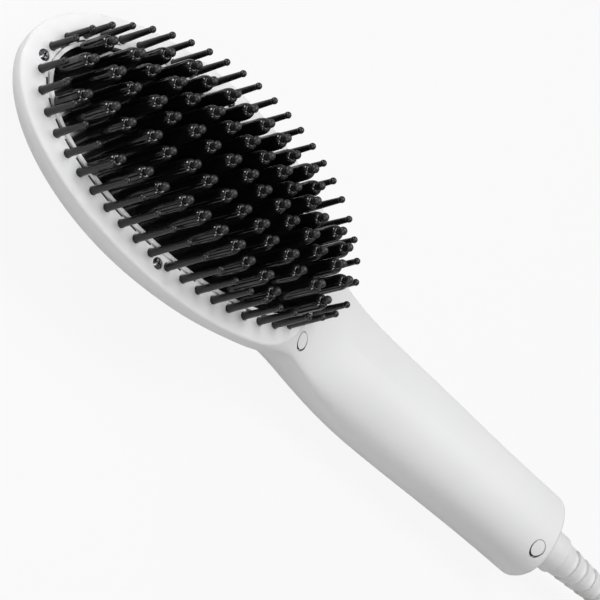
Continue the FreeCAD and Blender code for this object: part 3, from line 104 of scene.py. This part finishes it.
# Sizes of the drift of colour, the patches of gloss and the grain in moulded plastic
PLASTIC_DRIFT = 35.0 * MM
PLASTIC_PATCH = 9.0 * MM
PLASTIC_GRAIN = 0.25 * MM
PLASTIC_GRAIN_DEPTH = 0.004 * MM

# Sizes of the streaks, the scratches and the grain in bare metal
METAL_STREAK = 4.0 * MM
METAL_SCRATCH = 0.6 * MM
METAL_GRAIN = 0.2 * MM
METAL_GRAIN_DEPTH = 0.003 * MM

# Sizes of the haze and the tint in the display's window
WINDOW_HAZE = 6.0 * MM
WINDOW_TINT = 20.0 * MM

# Threads of the strap, seen as colour and felt as relief
WEAVE_COLOUR_SIZE = 0.5 * MM
WEAVE_RELIEF_SIZE = 0.35 * MM
WEAVE_DEPTH = 0.12 * MM

# Values of a noise between which a variation runs from one end to the other
NOISE_LOW = 0.3
NOISE_HIGH = 0.7

# Upward part of the screw plugs' normal below which the painted shade of the gap round them shows, its soft
# edge and its darkness
GAP_SHADE_SLOPE = 0.2
GAP_SHADE_EDGE = 0.1
GAP_SHADE_DARKNESS = 0.01

# Floor, and the share of plain white that is seen in the floor, in the world and in mirrored rays
FLOOR_HALF_SIDE = 4.0
FLOOR_GREY = (0.5, 0.5, 0.5)
FLOOR_ROUGHNESS = 0.7
FLOOR_DRIFT = 0.4
FLOOR_WHITE = 0.9
WORLD_WHITE = 1.0
MIRRORED_WHITE = 0.35

# Strength of the world's light, and the softboxes: place, point that they face, sides and power in watts
WORLD_STRENGTH = 0.2
HEAD_MIDDLE = (0.0585, 0.0, 0.045)
NECK_MIDDLE = (-0.02, 0.0, 0.03)
SOFTBOXES = {
    "end_softbox": ((0.755, -0.25, 0.21), HEAD_MIDDLE, (0.3, 0.3), 3.0),
    "side_strip": ((0.08, 0.62, 0.17), HEAD_MIDDLE, (0.075, 0.34), 0.9),
    "near_softbox": ((0.3, 0.42, 0.62), HEAD_MIDDLE, (0.2, 0.2), 1.35),
    "overhead_softbox": ((-0.12, -0.3, 0.82), NECK_MIDDLE, (0.8, 0.5), 6.6),
}


def link(obj):
    bpy.context.scene.collection.objects.link(obj)
    return obj


class Finish:
    """A procedural material under construction."""

    def __init__(self, name, colour, roughness):
        self.material = bpy.data.materials.new(name)
        self.material.use_nodes = True
        self.tree = self.material.node_tree
        self.shader = self.tree.nodes["Principled BSDF"]
        self.shader.inputs["Base Color"].default_value = (*colour, 1.0)
        self.shader.inputs["Roughness"].default_value = roughness
        self.colour = colour
        self.coordinates = self.tree.nodes.new("ShaderNodeTexCoord")

    def set(self, **values):
        """Sets sockets of the shader, named with underscores for spaces."""
        for name, value in values.items():
            self.shader.inputs[name.replace("_", " ")].default_value = value
        return self

    def noise(self, size, detail=2.0, stretch=(1.0, 1.0, 1.0)):
        """Noise whose features are about size across."""
        mapping = self.tree.nodes.new("ShaderNodeMapping")
        mapping.inputs["Scale"].default_value = stretch
        self.tree.links.new(self.coordinates.outputs["Object"], mapping.inputs["Vector"])
        texture = self.tree.nodes.new("ShaderNodeTexNoise")
        texture.inputs["Scale"].default_value = 1.0 / size
        texture.inputs["Detail"].default_value = detail
        self.tree.links.new(mapping.outputs["Vector"], texture.inputs["Vector"])
        return texture.outputs["Fac"]

    def tint(self, source, darker, lighter):
        """Lets a texture vary the colour between two brightnesses of it."""
        ramp = self.tree.nodes.new("ShaderNodeValToRGB")
        low, high = ramp.color_ramp.elements
        low.position = NOISE_LOW
        high.position = NOISE_HIGH
        low.color = (*[min(1.0, c * darker) for c in self.colour], 1.0)
        high.color = (*[min(1.0, c * lighter) for c in self.colour], 1.0)
        self.tree.links.new(source, ramp.inputs["Fac"])
        self.tree.links.new(ramp.outputs["Color"], self.shader.inputs["Base Color"])

    def gloss(self, source, low, high):
        """Lets a texture vary the roughness between two values."""
        spread = self.tree.nodes.new("ShaderNodeMapRange")
        spread.inputs["From Min"].default_value = NOISE_LOW
        spread.inputs["From Max"].default_value = NOISE_HIGH
        spread.inputs["To Min"].default_value = low
        spread.inputs["To Max"].default_value = high
        self.tree.links.new(source, spread.inputs["Value"])
        self.tree.links.new(spread.outputs["Result"], self.shader.inputs["Roughness"])

    def bump(self, source, depth):
        """Lets a texture raise the surface by up to a depth."""
        node = self.tree.nodes.new("ShaderNodeBump")
        node.inputs["Distance"].default_value = depth
        node.inputs["Strength"].default_value = 1.0
        self.tree.links.new(source, node.inputs["Height"])
        self.tree.links.new(node.outputs["Normal"], self.shader.inputs["Normal"])

    def paint_gap_shade_on_sides(self):
        """Paints the shade of the gap round a plug onto its upright sides as black, and leaves the top as
        it is.
        """
        facing = self.tree.nodes.new("ShaderNodeSeparateXYZ")
        self.tree.links.new(self.coordinates.outputs["Normal"], facing.inputs["Vector"])
        ramp = self.tree.nodes.new("ShaderNodeValToRGB")
        side, top = ramp.color_ramp.elements
        side.position = GAP_SHADE_SLOPE
        top.position = GAP_SHADE_SLOPE + GAP_SHADE_EDGE
        side.color = (GAP_SHADE_DARKNESS, GAP_SHADE_DARKNESS, GAP_SHADE_DARKNESS, 1.0)
        self.tree.links.new(facing.outputs["Z"], ramp.inputs["Fac"])
        product = self.tree.nodes.new("ShaderNodeVectorMath")
        product.operation = "MULTIPLY"
        colour = self.shader.inputs["Base Color"]
        self.tree.links.new(colour.links[0].from_socket, product.inputs[0])
        self.tree.links.new(ramp.outputs["Color"], product.inputs[1])
        self.tree.links.new(product.outputs["Vector"], colour)


def moulded(name, colour, roughness, grain=PLASTIC_GRAIN, depth=PLASTIC_GRAIN_DEPTH, spread=0.03):
    """Moulded plastic: a fine grain, a broad drift of colour and patches of more or less gloss."""
    finish = Finish(name, colour, roughness)
    finish.tint(finish.noise(PLASTIC_DRIFT), 1 - spread, 1 + spread)
    finish.gloss(finish.noise(PLASTIC_PATCH, 4.0), roughness * 0.9, roughness * 1.12)
    finish.bump(finish.noise(grain, 3.0), depth)
    return finish


def metal(name, colour, roughness, stretch=(1.0, 1.0, 1.0)):
    """Bare metal with fine scratches along the way it was drawn or rolled."""
    finish = Finish(name, colour, roughness).set(Metallic=1.0)
    finish.tint(finish.noise(METAL_STREAK, 4.0, stretch), 0.85, 1.1)
    finish.gloss(finish.noise(METAL_SCRATCH, 4.0, stretch), roughness * 0.8, roughness * 1.3)
    finish.bump(finish.noise(METAL_GRAIN, 2.0, stretch), METAL_GRAIN_DEPTH)
    return finish


def smoked_window():
    """Clear dark plastic over the display, with a faint haze."""
    finish = Finish("window_smoke", (0.16, 0.16, 0.18), 0.05).set(Transmission_Weight=0.9, IOR=1.49)
    finish.gloss(finish.noise(WINDOW_HAZE, 3.0), 0.03, 0.07)
    finish.tint(finish.noise(WINDOW_TINT), 0.9, 1.1)
    return finish


def woven_strap():
    """Dark woven tape, with its threads as small marks of colour and relief."""
    finish = Finish("tie_weave", (0.03, 0.03, 0.033), 0.85)
    finish.tint(finish.noise(WEAVE_COLOUR_SIZE, 2.0, (1.0, 3.0, 1.0)), 0.6, 1.5)
    finish.bump(finish.noise(WEAVE_RELIEF_SIZE, 2.0, (3.0, 1.0, 3.0)), WEAVE_DEPTH)
    return finish


def make_materials():
    """The material of each slot of the record, and those of the print."""
    along = (0.05, 1.0, 1.0)
    made = {
        "white_casing": moulded("casing_white", CASING_WHITE, 0.36, spread=0.012),
        "pin_black": moulded("pin_black", BRISTLE_BLACK, 0.28, spread=0.15),
        "plate_black": moulded(
            "coating_black", (0.006, 0.006, 0.007), 0.1, grain=0.5 * MM, depth=0.002 * MM, spread=0.2
        ),
        "tip_black": moulded("tip_black", BRISTLE_BLACK, 0.4, spread=0.15),
        "screw_black": metal("screw_black", (0.14, 0.14, 0.145), 0.24),
        "carrier_resin": moulded("carrier_resin", (0.5, 0.44, 0.36), 0.6),
        "heater_ceramic": moulded("heater_ceramic", (0.8, 0.77, 0.7), 0.55, depth=0.01 * MM),
        "mica_tan": moulded("mica_tan", (0.5, 0.38, 0.22), 0.35, grain=1.2 * MM, spread=0.2),
        "clamp_steel": metal("clamp_steel", (0.6, 0.6, 0.6), 0.34, along),
        "sensor_glass": moulded("sensor_glass", (0.35, 0.14, 0.05), 0.12),
        "fuse_metal": metal("fuse_metal", (0.72, 0.72, 0.74), 0.3),
        "wire_red": moulded("wire_red", (0.5, 0.03, 0.025), 0.4),
        "wire_yellow": moulded("wire_yellow", (0.7, 0.5, 0.05), 0.4),
        "wire_brown": moulded("wire_brown", (0.2, 0.09, 0.04), 0.4),
        "board_green": moulded("board_green", (0.02, 0.18, 0.08), 0.35, grain=0.8 * MM, spread=0.15),
        "relay_blue": moulded("relay_blue", (0.03, 0.09, 0.32), 0.45),
        "capacitor_sleeve": moulded("capacitor_sleeve", (0.03, 0.04, 0.11), 0.25),
        "terminal_grey": moulded("terminal_grey", (0.42, 0.44, 0.42), 0.5),
        "display_dark": moulded("display_dark", (0.012, 0.012, 0.014), 0.3, spread=0.1),
        "button_white": moulded("button_white", (0.72, 0.72, 0.73), 0.34, spread=0.012),
        "switch_black": moulded("switch_black", (0.03, 0.03, 0.03), 0.5),
        "bush_grey": moulded("bush_grey", (0.5, 0.5, 0.48), 0.5),
        "contact_brass": metal("contact_brass", (0.75, 0.55, 0.24), 0.28),
        "relief_white": moulded("relief_white", (0.8, 0.8, 0.8), 0.45, spread=0.015),
        "cord_white": moulded("cord_white", LEAD_WHITE, 0.42, grain=0.4 * MM, spread=0.02),
        "plug_white": moulded("plug_white", LEAD_WHITE, 0.42, spread=0.015),
        "plug_cap": moulded("plug_cap", CASING_WHITE, 0.36, spread=0.012),
        "plug_pin_metal": metal("plug_pin_metal", (0.72, 0.71, 0.68), 0.2),
        "window_smoke": smoked_window(),
        "tie_grey": woven_strap(),
        "mark_grey": moulded("mark_grey", (0.12, 0.12, 0.125), 0.5, spread=0.1),
        "segment_grey": moulded("segment_grey", (0.09, 0.09, 0.1), 0.4, spread=0.1),
    }
    made["plate_black"].set(IOR=COATING_IOR, Specular_IOR_Level=BLACK_SHINE)
    made["pin_black"].set(Specular_IOR_Level=BLACK_SHINE)
    made["white_casing"].set(Specular_IOR_Level=CASING_SHINE)
    made["plug_cap"].set(Specular_IOR_Level=CASING_SHINE)
    # Painted shade: the plug caps' upright sides are blackened to stand for the shadow in the gap round
    # them
    made["plug_cap"].paint_gap_shade_on_sides()
    return {slot: finish.material for slot, finish in made.items()}


def dress_nodes(frame, materials):
    """Gives every CAD node the material of its slot."""
    for row in frame["record"]["subparts"]:
        node = frame["nodes"][row["node"]]
        node.data.materials.clear()
        node.data.materials.append(materials[row["material_slot"]])


def coil_point(turn, outward=1.0):
    """A point of the coil, which winds in on its lower layer and out again on its upper one."""
    from_turn_back = turn - COIL_TURNS / 2
    radius = COIL_INNER_RADIUS + COIL_PITCH * (math.hypot(from_turn_back, COIL_TURN_BACK) - COIL_TURN_BACK)
    climb = min(1.0, max(0.0, turn - COIL_TURNS_PER_LAYER) / COIL_CLIMB_TURNS)
    rise = COIL_LAYER_RISE * (1 - math.cos(math.pi * climb)) / 2
    angle = -math.pi / 2 - 2 * math.pi * turn
    x = COIL_CENTRE[0] + outward * radius * math.cos(angle)
    y = COIL_CENTRE[1] + outward * radius * math.sin(angle)
    return Vector((x, y, CORD_Z + rise))


def coil_tangent(turn):
    return (coil_point(turn + TANGENT_TURN) - coil_point(turn - TANGENT_TURN)).normalized()


def mix(low, high, share):
    return low + (high - low) * share


def lead_points():
    """From the strain relief down to the floor and round to the coil."""
    before = coil_point(0) - coil_tangent(0) * CORD_STRAIGHT

    def at(run, aside, drop):
        x = mix(CORD_EXIT.x, before.x, run)
        return Vector((x, before.y * aside, mix(CORD_EXIT.z, CORD_Z, drop)))

    points = [at(0, 0, 0), at(0.165, 0, 0), at(0.36, 0.15, 0.38), at(0.56, 0.48, 0.85)]
    return points + [at(0.76, 0.83, 1), at(1, 1, 1)]


def coil_points():
    """Control points of the coil, set out a little so that the smooth line runs on the turns."""
    step = 2 * math.pi / COIL_POINTS_PER_TURN
    outward = 1 / (0.75 + 0.25 * math.cos(step))
    count = int(COIL_TURNS * COIL_POINTS_PER_TURN)
    return [coil_point(i / COIL_POINTS_PER_TURN, outward) for i in range(count + 1)]


def tail_points():
    """From the end of the coil's upper layer to the plug."""
    start = coil_point(COIL_TURNS)
    after = start + coil_tangent(COIL_TURNS) * CORD_STRAIGHT

    def at(run, aside, rise):
        x = after.x + run * TAIL_RUN
        return Vector((x, after.y - aside * TAIL_ASIDE, mix(start.z, PLUG_AXIS_HEIGHT, rise)))

    return [at(0, 0, 0), at(0.35, 0.16, 0.5), at(0.7, 0.53, 1), at(1, 1, 1)]


def make_cord(material):
    """The whole mains lead on one smooth line, from the strain relief to the plug."""
    points = lead_points() + coil_points() + tail_points()
    curve = bpy.data.curves.new("mains_lead", "CURVE")
    curve.dimensions = "3D"
    curve.bevel_depth = CORD_DIAMETER / 2
    curve.bevel_resolution = CORD_ROUND_STEPS
    curve.resolution_u = CORD_RUN_STEPS
    curve.use_fill_caps = True
    spline = curve.splines.new("NURBS")
    spline.points.add(len(points) - 1)
    for target, point in zip(spline.points, points):
        target.co = (*point, 1.0)
    spline.order_u = 3
    spline.use_endpoint_u = True
    curve.materials.append(material)
    cord = link(bpy.data.objects.new("mains_lead", curve))
    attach(cord, "brush")
    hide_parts("cord_lead", "cord_coil", "cord_tail")
    return cord


def join_rings(mesh, first, last):
    """Faces between two rings of points, side by side."""
    for i in range(len(first)):
        j = (i + 1) % len(first)
        mesh.faces.new((first[i], first[j], last[j], last[i]))


def finish_mesh(name, mesh, material):
    """Turns the faces outward and makes an object of them."""
    bmesh.ops.recalc_face_normals(mesh, faces=mesh.faces)
    data = bpy.data.meshes.new(name)
    mesh.to_mesh(data)
    mesh.free()
    data.materials.append(material)
    return link(bpy.data.objects.new(name, data))


def make_tie(material):
    """Woven strap round the coil, a closed band with rounded corners."""
    low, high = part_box("coil_tie")
    reach = STRAP_INSET + STRAP_CORNER_RADIUS
    left, right = low.x + reach, high.x - reach
    bottom, top = low.z + reach, high.z - reach
    mesh = bmesh.new()
    rings = []
    for x, z, start in ((right, top, 0), (left, top, 90), (left, bottom, 180), (right, bottom, 270)):
        for i in range(STRAP_CORNER_STEPS + 1):
            angle = math.radians(start + 90 * i / STRAP_CORNER_STEPS)
            ring = []
            for depth, y in ((0, low.y), (0, high.y), (STRAP_THICKNESS, high.y), (STRAP_THICKNESS, low.y)):
                radius = STRAP_CORNER_RADIUS - depth
                ring.append(mesh.verts.new((x + radius * math.cos(angle), y, z + radius * math.sin(angle))))
            rings.append(ring)
    for first, last in zip(rings, rings[1:] + rings[:1]):
        join_rings(mesh, first, last)
    strap = finish_mesh("coil_strap", mesh, material)
    bevel = strap.modifiers.new("soft_edges", "BEVEL")
    bevel.width = STRAP_EDGE_ROUND
    bevel.segments = 2
    bevel.limit_method = "ANGLE"
    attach(strap, "brush")
    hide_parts("coil_tie")
    return strap


def add_stroke(mesh, points, width, low, high):
    """Adds a flat stroke of even width along a line of points, standing between two heights."""
    rings = []
    for i, point in enumerate(points):
        before = points[max(0, i - 1)]
        after = points[min(len(points) - 1, i + 1)]
        heading = (after - before).normalized()
        aside = Vector((-heading.y, heading.x)) * width / 2
        left = point + aside
        right = point - aside
        corners = [(*left, low), (*right, low), (*right, high), (*left, high)]
        rings.append([mesh.verts.new(corner) for corner in corners])
    for first, last in zip(rings, rings[1:]):
        join_rings(mesh, first, last)
    mesh.faces.new(rings[0])
    mesh.faces.new(rings[-1])


def make_mark(name, body, strokes, width, face, rise, material):
    """A mark of flat strokes on the underside of a face, standing a little below it."""
    mesh = bmesh.new()
    for stroke in strokes:
        add_stroke(mesh, [Vector(point) for point in stroke], width, face - rise, face + PRINT_ROOT)
    mark = finish_mesh(name, mesh, material)
    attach(mark, body)


def power_sign(x, y):
    """Open ring with a stem in its gap."""
    ring = []
    for i in range(POWER_RING_STEPS + 1):
        turn = math.radians(POWER_RING_START + POWER_RING_SWEEP * i / POWER_RING_STEPS)
        ring.append((x + POWER_RING_RADIUS * math.cos(turn), y + POWER_RING_RADIUS * math.sin(turn)))
    return [ring, [(x + reach, y) for reach in POWER_STEM]]


def minus_sign(x, y):
    return [[(x, y - SIGN_REACH), (x, y + SIGN_REACH)]]


def plus_sign(x, y):
    return minus_sign(x, y) + [[(x - SIGN_REACH, y), (x + SIGN_REACH, y)]]


def make_button_marks(material):
    """Power sign, plus and minus on the buttons."""
    for name, sign in (("power", power_sign), ("plus", plus_sign), ("minus", minus_sign)):
        button = name + "_button"
        low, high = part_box(button)
        strokes = sign((low.x + high.x) / 2, (low.y + high.y) / 2)
        make_mark(name + "_mark", button, strokes, SIGN_WIDTH, low.z, SIGN_RISE, material)


def figure_strokes(x):
    """The seven segments of one figure."""
    strokes = []
    for level in (-1, 0, 1):
        y = level * FIGURE_HALF_HEIGHT
        strokes.append([(x - FIGURE_HALF_WIDTH + SEGMENT_GAP, y), (x + FIGURE_HALF_WIDTH - SEGMENT_GAP, y)])
    for side in (x - FIGURE_HALF_WIDTH, x + FIGURE_HALF_WIDTH):
        for level in (-1, 1):
            inner = level * SEGMENT_GAP
            outer = level * (FIGURE_HALF_HEIGHT - SEGMENT_GAP)
            strokes.append([(side, inner), (side, outer)])
    return strokes


def make_display_segments(material):
    """Unlit segments of a three-figure display, behind its window."""
    low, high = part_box("display_module")
    middle = (low.x + high.x) / 2
    strokes = []
    for figure in (-1, 0, 1):
        strokes += figure_strokes(middle + figure * FIGURE_PITCH)
    name = "display_segments"
    make_mark(name, "brush", strokes, SEGMENT_WIDTH, low.z, SEGMENT_RISE, material)


def make_camera():
    right = Vector(CAMERA_RIGHT).normalized()
    up = Vector(CAMERA_UP)
    up = (up - right * up.dot(right)).normalized()
    back = right.cross(up)
    data = bpy.data.cameras.new("photo_camera")
    data.lens = CAMERA_LENS
    data.sensor_width = CAMERA_SENSOR
    camera = link(bpy.data.objects.new("photo_camera", data))
    turn = Matrix((right, up, back)).transposed().to_4x4()
    camera.matrix_world = Matrix.Translation(CAMERA_PLACE) @ turn
    bpy.context.scene.camera = camera


def add_softbox(name, place, target, sides, power):
    data = bpy.data.lights.new(name, "AREA")
    data.shape = "RECTANGLE"
    data.size, data.size_y = sides
    data.energy = power
    light = link(bpy.data.objects.new(name, data))
    light.location = place
    light.rotation_mode = "QUATERNION"
    light.rotation_quaternion = (Vector(target) - Vector(place)).to_track_quat("-Z", "Y")
    light.visible_camera = False


def combine(tree, operation, first, second):
    """The result of a math node on two values, of which the second may be a plain number."""
    node = tree.nodes.new("ShaderNodeMath")
    node.operation = operation
    tree.links.new(first, node.inputs[0])
    if isinstance(second, float):
        node.inputs[1].default_value = second
    else:
        tree.links.new(second, node.inputs[1])
    return node.outputs[0]


def add_white(tree, shaded, strength):
    """Adds a plain white that is seen straight, through glass and, in part, in reflections."""
    path = tree.nodes.new("ShaderNodeLightPath")
    straight = combine(tree, "MAXIMUM", path.outputs["Is Camera Ray"], path.outputs["Is Transmission Ray"])
    mirrored = combine(tree, "MULTIPLY", path.outputs["Is Glossy Ray"], MIRRORED_WHITE)
    seen = combine(tree, "MAXIMUM", straight, mirrored)
    share = combine(tree, "MULTIPLY", seen, strength)
    white = tree.nodes.new("ShaderNodeEmission")
    both = tree.nodes.new("ShaderNodeMixShader")
    tree.links.new(share, both.inputs["Fac"])
    tree.links.new(shaded, both.inputs[1])
    tree.links.new(white.outputs[0], both.inputs[2])
    return both.outputs[0]


def make_floor():
    half = FLOOR_HALF_SIDE
    data = bpy.data.meshes.new("floor")
    corners = [(-half, -half, 0), (half, -half, 0), (half, half, 0), (-half, half, 0)]
    data.from_pydata(corners, [], [(0, 1, 2, 3)])
    floor = link(bpy.data.objects.new("floor", data))
    finish = Finish("floor_white", FLOOR_GREY, FLOOR_ROUGHNESS)
    finish.tint(finish.noise(FLOOR_DRIFT), 0.995, 1.005)
    seen = add_white(finish.tree, finish.shader.outputs[0], FLOOR_WHITE)
    finish.tree.links.new(seen, finish.tree.nodes["Material Output"].inputs["Surface"])
    data.materials.append(finish.material)


def make_world():
    world = bpy.data.worlds.new("studio")
    world.use_nodes = True
    tree = world.node_tree
    background = tree.nodes["Background"]
    background.inputs["Strength"].default_value = WORLD_STRENGTH
    seen = add_white(tree, background.outputs[0], WORLD_WHITE)
    tree.links.new(seen, tree.nodes["World Output"].inputs["Surface"])
    bpy.context.scene.world = world


def make_lights():
    for name, (place, target, sides, power) in SOFTBOXES.items():
        add_softbox(name, place, target, sides, power)


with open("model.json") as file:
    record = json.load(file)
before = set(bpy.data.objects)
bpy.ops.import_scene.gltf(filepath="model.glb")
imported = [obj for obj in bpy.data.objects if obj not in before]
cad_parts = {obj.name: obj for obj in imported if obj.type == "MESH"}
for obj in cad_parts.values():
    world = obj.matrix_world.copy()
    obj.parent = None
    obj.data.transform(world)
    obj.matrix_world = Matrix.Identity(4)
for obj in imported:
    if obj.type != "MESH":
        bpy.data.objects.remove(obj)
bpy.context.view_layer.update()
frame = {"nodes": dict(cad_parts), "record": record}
materials = make_materials()
dress_nodes(frame, materials)
cord = make_cord(materials["cord_white"])
make_button_marks(materials["mark_grey"])
make_display_segments(materials["segment_grey"])
tie = make_tie(materials["tie_grey"])
make_camera()
make_floor()
make_world()
make_lights()
bpy.context.scene.view_settings.view_transform = "Standard"
